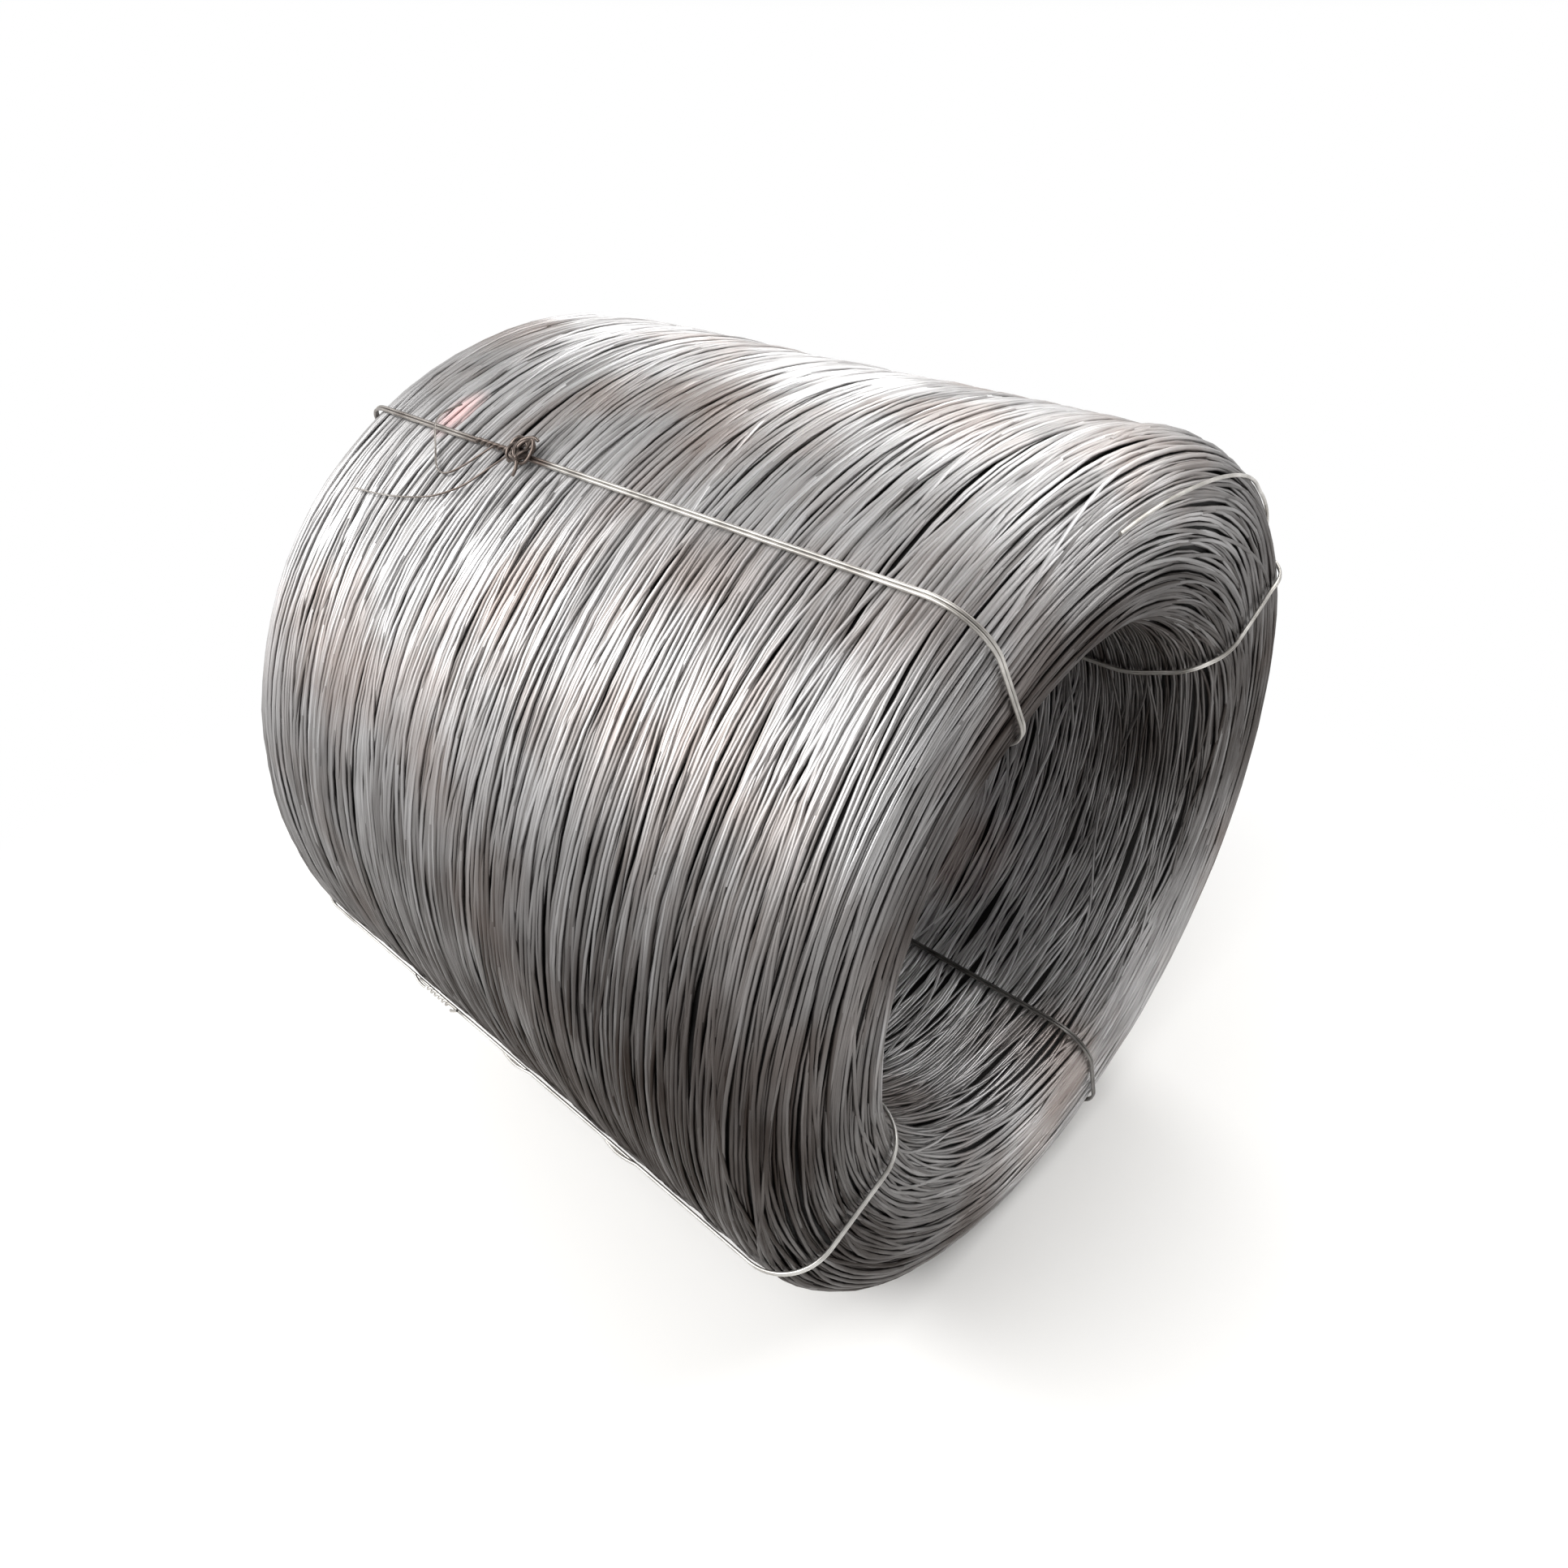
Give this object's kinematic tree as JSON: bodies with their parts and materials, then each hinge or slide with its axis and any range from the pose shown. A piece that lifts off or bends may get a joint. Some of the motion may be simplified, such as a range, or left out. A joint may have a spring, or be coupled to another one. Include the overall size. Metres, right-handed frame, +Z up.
{
  "type": "coil of wire rod",
  "caption": "Coil of bright steel wire rod lying on its side: a thick ring of loose round turns about an open bore, bound by doubled soft-wire ties with twisted ends.",
  "frame": {"origin": "on the floor under the middle of the coil: the centre of the bottom of its box, with the coil's axis 0.625 m above it", "axes": "+X along the coil's axis towards the end that faces the viewer in the picture, +Z up, +Y away from the viewer's side"},
  "size_m": [1.1296, 1.25, 1.2496],
  "materials": {
    "bright_rod": "bright, lightly rubbed round rod, dull between the turns",
    "tie_wire": "soft annealed binding wire, satin"
  },
  "bodies": {
    "root": {"wire_rod_coil": "bright_rod", "tie_wire_top": "tie_wire", "tie_wire_back": "tie_wire", "tie_wire_under": "tie_wire", "tie_wire_front": "tie_wire"}
  },
  "joints": []
}
